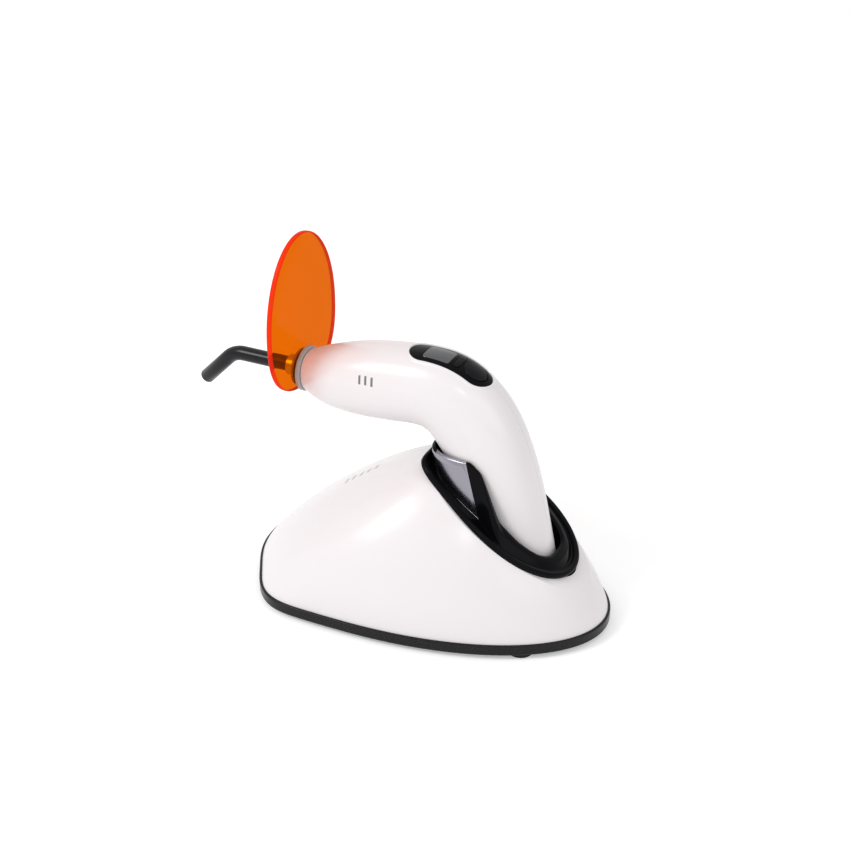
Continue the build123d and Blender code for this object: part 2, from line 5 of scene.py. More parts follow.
import bmesh
import bpy
import numpy as np
from bpy.props import FloatProperty, FloatVectorProperty, PointerProperty
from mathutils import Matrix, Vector


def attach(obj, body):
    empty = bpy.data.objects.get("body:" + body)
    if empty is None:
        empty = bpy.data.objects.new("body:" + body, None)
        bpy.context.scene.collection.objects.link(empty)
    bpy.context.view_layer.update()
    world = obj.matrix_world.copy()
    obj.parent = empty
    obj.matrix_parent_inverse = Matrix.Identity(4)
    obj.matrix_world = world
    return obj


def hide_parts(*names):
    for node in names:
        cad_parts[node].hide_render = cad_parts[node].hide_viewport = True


bl_info = {
    "name": "Dental curing light",
    "version": (1, 0, 0),
    "blender": (4, 5, 0),
    "location": "View3D > Sidebar > Curing light",
    "description": "A curing light's handpiece, charging base, light guide and shield, with their finishes",
    "category": "Object",
}

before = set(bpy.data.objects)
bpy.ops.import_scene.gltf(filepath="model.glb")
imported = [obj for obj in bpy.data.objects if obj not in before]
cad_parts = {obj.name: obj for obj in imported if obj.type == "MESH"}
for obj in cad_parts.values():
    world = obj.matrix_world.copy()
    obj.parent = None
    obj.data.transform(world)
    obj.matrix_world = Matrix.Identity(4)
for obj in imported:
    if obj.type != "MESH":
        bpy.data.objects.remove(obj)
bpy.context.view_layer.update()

# Lengths below are in millimetres from the middle of the base's outline, as in the CAD source.
frame_shift = 20.7


def length(name, millimetres, description):
    """A property that holds a length in metres, with a default given in millimetres."""
    return FloatProperty(
        name=name, description=description, default=millimetres / 1000, unit="LENGTH", precision=4
    )


def colour(name, value, description):
    """A property that holds a colour, as linear red, green and blue."""
    return FloatVectorProperty(
        name=name, description=description, default=value, size=3, subtype="COLOR", min=0, max=1
    )


class BaseSizes(bpy.types.PropertyGroup):
    """Sizes of the charging base."""

    front: length("Front", -100.0, "How far the base reaches in front of its middle")
    rear: length("Rear", 100.0, "How far the base reaches behind its middle")
    middle: length("Widest place", -25.0, "Where along its length the base is widest")
    half_width: length("Half width", 63.0, "Half the base's width")
    rim_top: length("Rim top", 8.5, "Height of the top of the dark band")
    ledge: length("Ledge", 1.4, "How far the dome's foot lies inside the band")
    dome_top: length("Dome top", 90.5, "Height that the dome's form closes at")
    wall: length("Wall", 2.4, "Thickness of the base shell")


class CradleSizes(bpy.types.PropertyGroup):
    """Sizes of the cradle that holds the handpiece."""

    lip_half_width: length("Lip half width", 31.3, "Half the width of the lip on the slanted cut")
    lip_width: length("Lip width", 3.6, "Width of the lip's band")
    lip_height: length("Lip height", 3.2, "How far the lip stands off the slanted cut")
    cup_half_width: length("Cup half width", 21.3, "Half the width of the cup")
    cup_wall: length("Cup wall", 2.3, "Thickness of the cup's wall")


class HandpieceSizes(bpy.types.PropertyGroup):
    """Sizes of the handpiece and its control panel."""

    wall: length("Wall", 2.8, "Thickness of the housing")
    panel_length: length("Panel length", 46.0, "Length of the control panel")
    panel_width: length("Panel width", 19.0, "Width of the control panel")
    panel_recess: length("Panel recess", 0.45, "How far the panel lies below the housing's surface")
    power_radius: length("Power button radius", 6.3, "Radius of the power button")
    seam: length("Seam", 0.06, "Half the gap between the two housing halves")


class GuideSizes(bpy.types.PropertyGroup):
    """Sizes of the light guide and the shield."""

    axis_height: length("Axis height", 115.8, "Height of the guide's axis")
    radius: length("Guide radius", 4.0, "Radius of the glass rod")
    bend_radius: length("Bend radius", 14.0, "Radius of the bend near the tip")
    tip_length: length("Tip length", 21.8, "Length of the straight run after the bend")
    ring_front_radius: length("Front ring radius", 10.0, "Radius of the rubber ring's front flange")
    ring_rear_radius: length("Rear ring radius", 12.2, "Radius of the rubber ring's rear flange")
    shield_top: length("Shield top", 191.5, "Height of the shield's top edge")
    shield_bottom: length("Shield bottom", 106.5, "Height of the shield's lower edge")
    shield_half_width: length("Shield half width", 33.6, "Half the shield's width")
    shield_thickness: length("Shield thickness", 3.0, "Thickness of the shield")


class Colours(bpy.types.PropertyGroup):
    """Colours of the visible finishes."""

    shell: colour("Shell", (0.83, 0.79, 0.80), "White plastic of the handpiece and base")
    black: colour("Black", (0.003, 0.003, 0.004), "Glossy black plastic of the cradle and panel")
    # The cheeks are the cradle's black plastic; this lighter metallic colour on them is a painted reflection
    # of the light they catch
    cheek_reflection: colour("Facet", (0.29, 0.28, 0.32), "Satin graphite of the cradle's cheeks")
    shield: colour("Shield", (0.74, 0.14, 0.0), "Orange tint of the shield")
    # The deeper red on the shield's edge faces is painted light: it stands in for the light the tinted plate
    # gathers at its rim
    shield_edge: colour("Shield edge", (0.9, 0.03, 0.01), "Red that the shield's edge gathers")
    ring: colour("Ring", (0.42, 0.40, 0.38), "Grey rubber of the shield's ring")
    marks: colour("Marks", (0.2, 0.18, 0.19), "Printed bars on the head")
    faint_marks: colour("Faint marks", (0.42, 0.4, 0.41), "Pale bars on the base")


# Stations along the handpiece: x, z, direction of travel in degrees, half depth and half width
stations = np.array(
    [
        (-72.0, 115.8, 0.0, 10.8, 10.8),
        (-64.0, 115.6, 1.0, 14.2, 14.0),
        (-52.0, 116.3, 4.0, 17.4, 17.0),
        (-34.0, 118.5, 6.0, 19.7, 19.0),
        (-14.0, 120.8, 0.0, 20.3, 19.4),
        (8.0, 119.6, -24.0, 21.4, 19.2),
        (23.5, 106.5, -50.0, 22.8, 18.6),
        (32.0, 92.0, -66.0, 22.2, 18.0),
        (39.6, 71.5, -73.0, 21.3, 17.2),
        (46.1, 48.0, -75.0, 20.3, 16.4),
        (52.0, 26.0, -75.0, 19.2, 15.4),
    ]
)
housing_power = 2.25
# The wall grows from the nose's thickness to its full one over the nose's run
nose_wall = 2.0
nose_run = 14.0

# Guide and shield
guide_start_x = -54.0
guide_bend_x = -113.2
guide_bend_angle = math.radians(45.0)
tip_chamfer = 0.35
chamfer_start = 1 - 0.5 / 18
shield_front = -77.6
shield_middle = 143.0
shield_lower_power = 2.5
shield_edge_radius = 0.9
shield_bore = 6.65
ring_front = -79.4
ring_rear = -72.4
ring_bore = 5.8
ring_groove = 6.6
ring_edge_radius = 0.7

# Base: the dome's outline and the power inlet
dome_peak = 20.0
# How much an outline swells at its corners, at which angle from its front and over what spread, in degrees
base_corner = 0.11
base_corner_angle = 58
corner_spread = 12
inner_drop = 2.2
inlet_place = np.array((18.0, 0.0, 16.0))
inlet_radius = 5.3

# Cradle: its slanted cut, its lip and its cup
cradle_slope = math.atan2(54.0, 81.0)
cradle_front = np.array((0.0, 0.0, 86.0))
plane_along = np.array((math.cos(cradle_slope), 0.0, -math.sin(cradle_slope)))
plane_out = np.array((math.sin(cradle_slope), 0.0, math.cos(cradle_slope)))
handle_lean = math.radians(15.0)
handle_foot = np.array((52.0, 0.0, 26.0))
handle_up = np.array((-math.sin(handle_lean), 0.0, math.cos(handle_lean)))
handle_back = np.array((math.cos(handle_lean), 0.0, math.sin(handle_lean)))
sideways = np.array((0.0, 1.0, 0.0))
lip_front = -0.5
lip_middle = 55.0
lip_rear = 96.5
lip_centre = 45.0
lip_corner = 0.12
lip_corner_angle = 33
web_height = 1.3
lip_least = 1.2
groove_least = 1.6
groove_rear = 1.3
ridge_height = 0.9
rim_lean = (0.985, 0.96)
cup_front = -31.0
cup_rear = 24.6
cup_power = 2.7
cup_floor = -4.0
cup_bottom = -7.0
cheek_rear = -5.9
blend_start = -7.0
blend_run = 10.0
# Corners of the cup's rim and of the crease below it: how far behind the handle's axis, and along it
rim_corners = [
    (-31, 78.3), (-22.1, 76.1), (-4.0, 71.9), (1.3, 65.0), (4.4, 38.0), (12.4, 26.0), (20.0, 16.4),
    (24.6, 11.4),
]
crease_corners = [(-31, 74.8), (-22.1, 73.0), (-6.6, 69.6), (-6.0, 46.0), (-3.0, 39.0), (24.6, 9.0)]

# Control panel
panel_slope = math.radians(8.6)
panel_middle = np.array((10.3, 0.0, 139.5))
panel_along = np.array((math.cos(panel_slope), 0.0, -math.sin(panel_slope)))
panel_out = np.array((math.sin(panel_slope), 0.0, math.cos(panel_slope)))
panel_plane = (panel_middle, panel_along, sideways, panel_out)
plate_bottom = -1.8
cap_bottom = -4.0
power_x = 13.6
mode_x = 4.4
mode_size = (12.0, 3.6)
display_x = -6.8
display_size = (15.0, 12.6)
window_power = 9

# Bars: where each lies on the head, as distance travelled and angle, and on the dome, as height and angle
head_bars = [(39.9, 160.2), (43.4, 160.6), (47.0, 162.0)]
dome_bars = [(55.3, 354.1), (58.2, 354.5), (61.2, 354.8), (63.9, 356.0), (66.7, 357.0)]

# Light
floor_glow = 0.3
world_light = 0.68

# Neighbouring faces that meet at more than this many degrees keep a sharp edge between them
sharp_angle = 32


def mm(value):
    """A length property's value in millimetres."""
    return value * 1000


def full_turn(count):
    """Angles at even steps round a circle."""
    return np.arange(count) / count * 2 * np.pi


def power_wave(value, power):
    """Signed value raised to a power: what turns a circle's cosine into a superellipse's."""
    return np.sign(value) * np.abs(value) ** (2 / power)


def mesh_piece(name, points, faces):
    """A closed mesh in its place, from points in millimetres; seams merged and faces turned outwards."""
    mesh = bpy.data.meshes.new(name)
    placed = (np.asarray(points, float).reshape(-1, 3) + (frame_shift, 0, 0)) / 1000
    mesh.from_pydata(placed.tolist(), [], faces)
    work = bmesh.new()
    work.from_mesh(mesh)
    bmesh.ops.remove_doubles(work, verts=work.verts, dist=1e-6)
    bmesh.ops.recalc_face_normals(work, faces=work.faces)
    work.to_mesh(mesh)
    work.free()
    piece = bpy.data.objects.new(name, mesh)
    bpy.context.scene.collection.objects.link(piece)
    return piece


def grid_faces(rows, columns, wrap_rows):
    """Corner numbers of the quads of a grid whose columns close on themselves, and whose rows may too."""
    row = np.arange(rows if wrap_rows else rows - 1)[:, None]
    column = np.arange(columns)[None, :]
    next_row = (row + 1) % rows
    next_column = (column + 1) % columns
    corners = [
        row * columns + column,
        row * columns + next_column,
        next_row * columns + next_column,
        next_row * columns + column,
    ]
    return np.stack([c.ravel() for c in corners], 1).tolist()


def grid_piece(name, grid, wrap_rows=False, caps=False, sharp=sharp_angle):
    """A piece from a grid of points; caps close its first and last rows with one face each."""
    rows, columns = grid.shape[:2]
    faces = grid_faces(rows, columns, wrap_rows)
    if caps:
        faces.append(list(range(columns)))
        faces.append(list(range((rows - 1) * columns, rows * columns)))
    piece = mesh_piece(name, grid, faces)
    shade(piece, sharp)
    return piece


def shade(piece, sharp):
    """Smooth shading, broken where neighbouring faces meet at more than an angle in degrees."""
    mesh = piece.data
    mesh.polygons.foreach_set("use_smooth", np.ones(len(mesh.polygons), bool))
    mesh.set_sharp_from_angle(angle=math.radians(sharp))
    mesh.update()


def cut_out(piece, cutter):
    """Take the cutter's volume out of the piece, then remove the cutter."""
    modifier = piece.modifiers.new("cut", "BOOLEAN")
    modifier.operation = "DIFFERENCE"
    modifier.solver = "EXACT"
    modifier.object = cutter
    bpy.context.view_layer.update()
    result = bpy.data.meshes.new_from_object(piece.evaluated_get(bpy.context.evaluated_depsgraph_get()))
    piece.modifiers.clear()
    piece.data = result
    result.name = piece.name
    bpy.data.objects.remove(cutter)
    shade(piece, sharp_angle)


def place(piece, body, material, slot, *replaced):
    """Give the piece its material, its CAD body and the nodes it stands for; the slot is not used."""
    piece.data.materials.clear()
    piece.data.materials.append(material)
    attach(piece, body)
    if replaced:
        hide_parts(*replaced)


def rounded(profile, radii):
    """Profile rows with each inner corner replaced by a parabola that starts its own radius from it.

    profile is rows x columns x 3. The corner's arc is (1-t)^2 a + 2t(1-t) corner + t^2 b, where a and b
    lie a radius along the two runs, or half of a shorter run.
    """
    rows = [profile[0]]
    share = np.linspace(0, 1, 5)[:, None, None]
    for before, corner, after, reach in zip(profile[:-2], profile[1:-1], profile[2:], radii):
        back = before - corner
        ahead = after - corner
        back_length = np.linalg.norm(back, axis=1, keepdims=True)
        ahead_length = np.linalg.norm(ahead, axis=1, keepdims=True)
        start = corner + back * np.minimum(reach / np.maximum(back_length, 1e-9), 0.5)
        end = corner + ahead * np.minimum(reach / np.maximum(ahead_length, 1e-9), 0.5)
        arc = (1 - share) ** 2 * start + 2 * share * (1 - share) * corner + share**2 * end
        rows.extend(arc)
    rows.append(profile[-1])
    return np.array(rows)


def soft_egg(front, middle, rear, half_width, corner, corner_angle, turn):
    """An egg at angles from its front: two half ellipses, swollen by a bell curve at one angle."""
    from_front = np.degrees(np.minimum(turn, 2 * np.pi - turn))
    swell = 1 + corner * np.exp(-0.5 * ((from_front - corner_angle) / corner_spread) ** 2)
    reach = np.where(from_front < 90, middle - front, rear - middle)
    return middle - reach * swell * np.cos(turn), half_width * swell * np.sin(turn)


def dome_point(sizes, height, turn, inset=0.0, drop=0.0):
    """Dome point at a height and an angle: the base outline drawn in towards the peak.

    With r running from 0 to 1 with height, the length shrinks by (1 - r^1.2)^0.75 and the width by
    (1 - r^2)^0.78.
    """
    rim_top = mm(sizes.rim_top)
    rise = (height - rim_top) / (mm(sizes.dome_top) - rim_top)
    along = (1 - rise**1.2) ** 0.75
    ledge = mm(sizes.ledge)
    front = dome_peak + (mm(sizes.front) + ledge - dome_peak) * along + inset
    rear = dome_peak + (mm(sizes.rear) - ledge - dome_peak) * along - inset
    middle = dome_peak + (mm(sizes.middle) - dome_peak) * along
    half_width = (mm(sizes.half_width) - ledge) * (1 - rise**2) ** 0.78 - inset
    x, y = soft_egg(front, middle, rear, half_width, base_corner * (1 - rise) ** 2, base_corner_angle, turn)
    return np.stack([x, y, height - drop + 0 * x], -1)


def cut_height(sizes, turn, inset=0.0, drop=0.0):
    """Height at which the dome's line at each angle meets the slanted plane, by halving."""
    low = np.full_like(turn, mm(sizes.rim_top))
    high = np.full_like(turn, mm(sizes.dome_top) - 0.5)
    for _ in range(40):
        half = (low + high) / 2
        point = dome_point(sizes, half, turn, inset, drop)
        above = (point - cradle_front) @ plane_out > 0
        high = np.where(above, half, high)
        low = np.where(above, low, half)
    return low


class Housing:
    """The handpiece's skin: a superellipse carried along natural cubic splines through the stations."""

    def __init__(self):
        x, z, heading, depth, width = stations.T
        heading = np.radians(heading)
        up_x, up_z = -np.sin(heading), np.cos(heading)
        steps = np.hypot(np.diff(x), np.diff(z))
        self.knots = np.concatenate([[0], np.cumsum(steps)])
        self.values = np.stack([x, z, up_x * depth, up_z * depth, up_x, up_z, width], 1)
        self.bend = self.second_slopes()

    def second_slopes(self):
        """Second derivatives at the stations of the natural cubic splines, from their linear system."""
        gap = np.diff(self.knots)
        count = len(self.knots)
        matrix = np.zeros((count, count))
        matrix[0, 0] = matrix[-1, -1] = 1
        inner = np.arange(1, count - 1)
        matrix[inner, inner - 1] = gap[:-1]
        matrix[inner, inner] = 2 * (gap[:-1] + gap[1:])
        matrix[inner, inner + 1] = gap[1:]
        slope = np.diff(self.values, axis=0) / gap[:, None]
        right = np.zeros_like(self.values)
        right[1:-1] = 6 * np.diff(slope, axis=0)
        return np.linalg.solve(matrix, right)

    def section(self, travel):
        """The seven spline values at distances travelled along the handpiece."""
        travel = np.clip(travel, 0, self.knots[-1])
        span = np.clip(np.searchsorted(self.knots, travel, side="right") - 1, 0, len(self.knots) - 2)
        gap = (self.knots[span + 1] - self.knots[span])[..., None]
        right = (travel - self.knots[span])[..., None]
        left = gap - right
        cubic = (self.bend[span] * left**3 + self.bend[span + 1] * right**3) / (6 * gap)
        line_left = (self.values[span] / gap - self.bend[span] * gap / 6) * left
        line_right = (self.values[span + 1] / gap - self.bend[span + 1] * gap / 6) * right
        return cubic + line_left + line_right

    def point(self, travel, turn, inset=0.0):
        """Skin point at a distance travelled and an angle: 0 is the far side, a quarter turn the top."""
        x, z, tall_x, tall_z, up_x, up_z, width = np.moveaxis(self.section(travel), -1, 0)
        rise = power_wave(np.sin(turn), housing_power)
        side = power_wave(np.cos(turn), housing_power)
        return np.stack(
            [x + rise * (tall_x - inset * up_x), side * (width - inset), z + rise * (tall_z - inset * up_z)],
            -1,
        )

    def lift(self, along, across, height):
        """Points over the panel's plane at given places on it, a height above the skin.

        Newton's method finds the distance and angle whose skin point has those two plane coordinates,
        from a first guess that spreads them evenly.
        """
        travel = np.interp(along, (-35, 35), (self.knots[4] - 18, self.knots[6] - 4))
        turn = np.pi / 2 - np.clip(across / 19, -0.9, 0.9)
        travel_step, turn_step = 0.01, 0.0005
        for _ in range(12):
            here = self.on_plane(travel, turn)
            by_travel = (self.on_plane(travel + travel_step, turn) - here) / travel_step
            by_turn = (self.on_plane(travel, turn + turn_step) - here) / turn_step
            wrong = np.stack([along, across], -1) - here
            area = by_travel[..., 0] * by_turn[..., 1] - by_travel[..., 1] * by_turn[..., 0]
            travel = travel + (wrong[..., 0] * by_turn[..., 1] - wrong[..., 1] * by_turn[..., 0]) / area
            turn = turn + (wrong[..., 1] * by_travel[..., 0] - wrong[..., 0] * by_travel[..., 1]) / area
        return self.point(travel, turn) + height * self.outward(travel, turn)

    def on_plane(self, travel, turn):
        """A skin point's two coordinates on the panel's plane."""
        offset = self.point(travel, turn) - panel_middle
        return np.stack([offset @ panel_along, offset @ sideways], -1)

    def outward(self, travel, turn):
        """Unit outward direction of the skin: the cross product of its two slopes."""
        here = self.point(travel, turn)
        along = self.point(travel + 0.02, turn) - here
        around = self.point(travel, turn + 0.001) - here
        normal = np.cross(around, along)
        return normal / np.linalg.norm(normal, axis=-1, keepdims=True)


housing = Housing()


def slot_path(length_mm, width_mm, offset, count=160):
    """Places around a slot outline, pushed out by an offset: two straight runs and two half circles."""
    radius = width_mm / 2
    straight = length_mm / 2 - radius
    run = 2 * straight
    arc = np.pi * radius
    total = 2 * (run + arc)
    walk = (np.arange(count) / count * total - arc / 2) % total
    corners = np.cumsum([0, run, arc, run, arc])
    along = np.interp(walk, corners, [-straight, straight, straight, -straight, -straight])
    angle = np.interp(walk, corners, np.array([1, 1, -1, -1, -3]) * np.pi / 2)
    return along + (radius + offset) * np.cos(angle), (radius + offset) * np.sin(angle)


def skin_rows(outline, offsets, heights):
    """Rows of points on the handpiece's skin: an outline at several offsets and heights."""
    return np.array([housing.lift(*outline(offset), height) for offset, height in zip(offsets, heights)])


def turned(profile, height, count=96):
    """A profile of (place along the guide, radius) as circles round the axis."""
    turn = full_turn(count)
    profile = np.array(profile, float)
    x = profile[:, 0, None] + 0 * turn
    y = profile[:, 1, None] * np.cos(turn)
    z = height + profile[:, 1, None] * np.sin(turn)
    return np.stack([x, y, z], -1)


def prism(name, outline, origin, along, across, out, low, high):
    """A straight prism on a plane: an outline's two coordinates carried from one height to another."""
    first, second = outline
    flat = origin + first[:, None] * along + second[:, None] * across
    return grid_piece(name, np.array([flat + low * out, flat + high * out]), caps=True)


def faces_of(piece):
    """Each face's centre, in millimetres from the middle of the base's outline, and its direction."""
    polygons = piece.data.polygons
    centres, facing = np.empty((2, 3 * len(polygons)))
    polygons.foreach_get("center", centres)
    polygons.foreach_get("normal", facing)
    return centres.reshape(-1, 3) * 1000 - (frame_shift, 0, 0), facing.reshape(-1, 3)


def second_finish(piece, material, chosen):
    """Give the chosen faces a second material."""
    piece.data.materials.append(material)
    piece.data.polygons.foreach_set("material_index", chosen.astype(np.int32))


# Shader node groups: effects that several finishes share


def new_group(name, floats):
    """An empty node group: a colour and named floats go in, colour, roughness and height come out."""
    group = bpy.data.node_groups.new(name, "ShaderNodeTree")
    sockets = group.interface
    given_colour = sockets.new_socket("Colour", in_out="INPUT", socket_type="NodeSocketColor")
    given_colour.default_value = (0.8, 0.8, 0.8, 1)
    for label, value in floats.items():
        sockets.new_socket(label, in_out="INPUT", socket_type="NodeSocketFloat").default_value = value
    for label, kind in (("Colour", "Color"), ("Roughness", "Float"), ("Height", "Float")):
        sockets.new_socket(label, in_out="OUTPUT", socket_type="NodeSocket" + kind)
    return group, group.nodes.new("NodeGroupInput").outputs, group.nodes.new("NodeGroupOutput").inputs


def add_node(tree, kind, feeds, operation=None):
    """A node in a tree, whose inputs take constants or links from other nodes' outputs."""
    node = tree.nodes.new(kind)
    if operation:
        node.operation = operation
    for key, value in feeds.items():
        if isinstance(value, bpy.types.NodeSocket):
            tree.links.new(value, node.inputs[key])
        else:
            node.inputs[key].default_value = value
    return node


def give_finish(group, given, result, tone, grain):
    """Outputs of a finish: its colour times the tone, its roughness plus some grain, the grain as height."""
    scaled = add_node(group, "ShaderNodeVectorMath", {0: given["Colour"], "Scale": tone}, "SCALE")
    gloss = {0: grain, 1: given["Gloss drift"], 2: given["Roughness"]}
    glossed = add_node(group, "ShaderNodeMath", gloss, "MULTIPLY_ADD")
    group.links.new(scaled.outputs["Vector"], result["Colour"])
    group.links.new(glossed.outputs[0], result["Roughness"])
    group.links.new(grain, result["Height"])
    return group


def moulded_group():
    """Moulded plastic: broad tone drift, fine gloss drift and an orange-peel height, from two noises."""
    floats = {"Tone drift": 0.05, "Roughness": 0.2, "Gloss drift": 0.05, "Grain scale": 600.0}
    group, given, result = new_group("Moulded surface", floats)
    where = add_node(group, "ShaderNodeTexCoord", {}).outputs["Object"]
    broad = add_node(group, "ShaderNodeTexNoise", {"Vector": where, "Scale": 18, "Detail": 3})
    grain = {"Vector": where, "Scale": given["Grain scale"], "Detail": 4}
    fine = add_node(group, "ShaderNodeTexNoise", grain)
    centred = add_node(group, "ShaderNodeMath", {0: broad.outputs["Fac"], 1: 0.5}, "SUBTRACT")
    swing = {0: centred.outputs[0], 1: given["Tone drift"], 2: 1.0}
    tone = add_node(group, "ShaderNodeMath", swing, "MULTIPLY_ADD")
    return give_finish(group, given, result, tone.outputs[0], fine.outputs["Fac"])


def turned_group():
    """Turned metal: fine rings along one axis, from a noise squeezed along X, as height and gloss."""
    floats = {"Roughness": 0.25, "Gloss drift": 0.2, "Ring scale": 900.0}
    group, given, result = new_group("Turned metal", floats)
    where = add_node(group, "ShaderNodeTexCoord", {}).outputs["Object"]
    squeezed = add_node(group, "ShaderNodeMapping", {"Vector": where, "Scale": (1, 0.02, 0.02)})
    lines = {"Vector": squeezed.outputs["Vector"], "Scale": given["Ring scale"], "Detail": 3}
    rings = add_node(group, "ShaderNodeTexNoise", lines)
    dark = {"Value": rings.outputs["Fac"], "To Min": 0.86, "To Max": 1.08}
    tone = add_node(group, "ShaderNodeMapRange", dark)
    return give_finish(group, given, result, tone.outputs["Result"], rings.outputs["Fac"])


groups = {}
materials = {}


def finish_material(name, group, values, bump=0.02, **sockets):
    """Make a material: one Principled BSDF fed by a shared group, with constants on its own sockets."""
    material = bpy.data.materials.new(name)
    material.use_nodes = True
    tree = material.node_tree
    shader = tree.nodes["Principled BSDF"]
    effect = tree.nodes.new("ShaderNodeGroup")
    effect.node_tree = groups[group]
    for label, value in values.items():
        effect.inputs[label].default_value = (*value, 1) if isinstance(value, tuple) else value
    tree.links.new(effect.outputs["Colour"], shader.inputs["Base Color"])
    tree.links.new(effect.outputs["Roughness"], shader.inputs["Roughness"])
    relief = {"Strength": bump, "Distance": 0.0001, "Height": effect.outputs["Height"]}
    bumps = add_node(tree, "ShaderNodeBump", relief)
    tree.links.new(bumps.outputs["Normal"], shader.inputs["Normal"])
    for label, value in sockets.items():
        shader.inputs[label.replace("_", " ")].default_value = value
    materials[name] = material


def moulded_material(name, hue, tone, rough, drift, **rest):
    """Make a material of the moulded group, from the values of the group's inputs."""
    values = {"Colour": hue, "Tone drift": tone, "Roughness": rough, "Gloss drift": drift}
    finish_material(name, "moulded", values, **rest)


class LIGHT_OT_finishes(bpy.types.Operator):
    """Build the shared effects and the finish of every material"""

    bl_idname = "curing.finishes"
    bl_label = "Build finishes"

    def execute(self, context):
        """Make the two node groups and every material."""
        tint = context.scene.curing_colours
        groups["moulded"] = moulded_group()
        groups["turned"] = turned_group()
        # Name: colour, tone drift, roughness, gloss drift, specular level
        plastics = {
            "shell": (tuple(tint.shell), 0.02, 0.22, 0.04, 0.5),
            "black": (tuple(tint.black), 0.2, 0.16, 0.05, 0.06),
            "plate": ((0.008, 0.008, 0.009), 0.2, 0.22, 0.1, 0.2),
            "ring": (tuple(tint.ring), 0.08, 0.45, 0.15, 0.4),
            "rubber": ((0.012, 0.012, 0.012), 0.2, 0.6, 0.2, 0.2),
            "marks": (tuple(tint.marks), 0.1, 0.45, 0.1, 0.3),
            "faint_marks": (tuple(tint.faint_marks), 0.05, 0.4, 0.1, 0.3),
            "board": ((0.015, 0.12, 0.05), 0.15, 0.35, 0.1, 0.5),
            "parts": ((0.02, 0.02, 0.022), 0.2, 0.45, 0.1, 0.3),
            "wrap": ((0.03, 0.09, 0.3), 0.08, 0.3, 0.1, 0.5),
            "ceramic": ((0.8, 0.79, 0.72), 0.05, 0.5, 0.1, 0.5),
            "screen": ((0.16, 0.165, 0.16), 0.05, 0.3, 0.1, 0.5),
            "button": ((0.006, 0.006, 0.007), 0.15, 0.2, 0.1, 0.08),
            "window": ((0.06, 0.06, 0.065), 0.1, 0.08, 0.05, 0.6),
            "rod": ((0.004, 0.003, 0.005), 0.2, 0.22, 0.04, 0.25),
        }
        bumps = {"shell": 0.012, "rod": 0.01}
        for name, (*look, gloss) in plastics.items():
            bump = bumps.get(name, 0.02)
            moulded_material(name, *look, bump=bump, Specular_IOR_Level=gloss)
        # Lighter metallic copy of the black plastic for the cheeks: a painted reflection
        moulded_material("cheek_reflection", tuple(tint.cheek_reflection), 0.05, 0.22, 0.04, Metallic=1.0)
        # Name: colour, roughness
        metals = {
            "steel": ((0.62, 0.62, 0.64), 0.2),
            "aluminium": ((0.74, 0.74, 0.76), 0.28),
            "gold": ((0.85, 0.6, 0.25), 0.18),
        }
        for name, (hue, rough) in metals.items():
            finish_material(name, "turned", {"Colour": hue, "Roughness": rough}, bump=0.1, Metallic=1.0)
        # Name: colour, tone drift, roughness, gloss drift, transmission, index of refraction
        clear = {
            "shield": (tuple(tint.shield), 0.04, 0.02, 0.02, 0.9, 1.06),
            # Painted light: a redder, less clear copy of the shield for its edge faces, for the light
            # gathered at the rim
            "shield_edge": (tuple(tint.shield_edge), 0.04, 0.12, 0.02, 0.25, 1.06),
            "lens": ((0.93, 0.95, 0.97), 0.02, 0.03, 0.02, 0.9, 1.5),
        }
        for name, (*look, through, index) in clear.items():
            moulded_material(name, *look, bump=0.005, Transmission_Weight=through, IOR=index)
        return {"FINISHED"}


class LIGHT_OT_node_finishes(bpy.types.Operator):
    """Give every CAD node that stays visible its finish"""

    bl_idname = "curing.node_finishes"
    bl_label = "Finish the CAD nodes"

    def execute(self, context):
        """Assign a material to each carried node by its own name."""
        finishes = {
            "shell": ["base_shell", "left_housing", "right_housing", "end_cap"],
            "black": ["cradle", "control_panel", "display_window", "power_button", "mode_button"],
            "plate": ["base_plate"],
            "rubber": ["rubber_feet", "seal_ring"],
            "ring": ["shield_ring"],
            "steel": ["base_screws", "housing_screws", "guide_socket", "guide_ferrule", "guide_clip"],
            "aluminium": ["heat_sink", "cell_contacts", "pin_spring_left", "pin_spring_right"],
            "gold": ["charging_pads", "charging_pin_left", "charging_pin_right"],
            "board": ["main_board", "charge_board"],
            "parts": ["board_components", "contact_block", "power_inlet", "button_switches", "buzzer"],
            "wrap": ["power_cell"],
            "ceramic": ["led_module"],
            "screen": ["display_module"],
            "lens": ["led_lens"],
            "rod": ["light_guide"],
            "shield": ["light_shield"],
        }
        for finish, names in finishes.items():
            for name in names:
                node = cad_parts[name]
                node.data.materials.clear()
                node.data.materials.append(materials[finish])
        return {"FINISHED"}


class LIGHT_OT_base(bpy.types.Operator):
    """Build the base's smooth dome, cut by the slanted plane and holed for the power inlet"""

    bl_idname = "curing.base"
    bl_label = "Build the base"

    def execute(self, context):
        """Dome shell as one closed sheet: up the outside to the cut, over its edge and down the inside."""
        sizes = context.scene.curing_base
        turn = full_turn(288)
        climb = np.linspace(0, 1, 60)[:, None]
        rows = []
        for inset, drop, share in ((0.0, 0.0, climb), (mm(sizes.wall), inner_drop, climb[::-1])):
            top = cut_height(sizes, turn, inset, drop)
            height = mm(sizes.rim_top) + (top - mm(sizes.rim_top)) * share
            rows.append(dome_point(sizes, height, turn, inset, drop))
        dome = grid_piece("base_dome", np.concatenate(rows), wrap_rows=True)
        circle = full_turn(48)
        ring = inlet_radius * np.cos(circle), inlet_radius * np.sin(circle)
        along, up = np.array((1.0, 0, 0)), np.array((0, 0, 1.0))
        hole = prism("inlet_hole", ring, inlet_place, along, up, sideways, 40, 80)
        cut_out(dome, hole)
        place(dome, "base", materials["shell"], "white_shell", "base_shell")
        return {"FINISHED"}


def cup_outline(turn, half_width, front, rear):
    """Superellipse of the cup across the handle's axis: places behind the axis, and sideways."""
    back = (rear + front) / 2 + (rear - front) / 2 * power_wave(np.cos(turn), cup_power)
    return back, half_width * power_wave(np.sin(turn), cup_power)


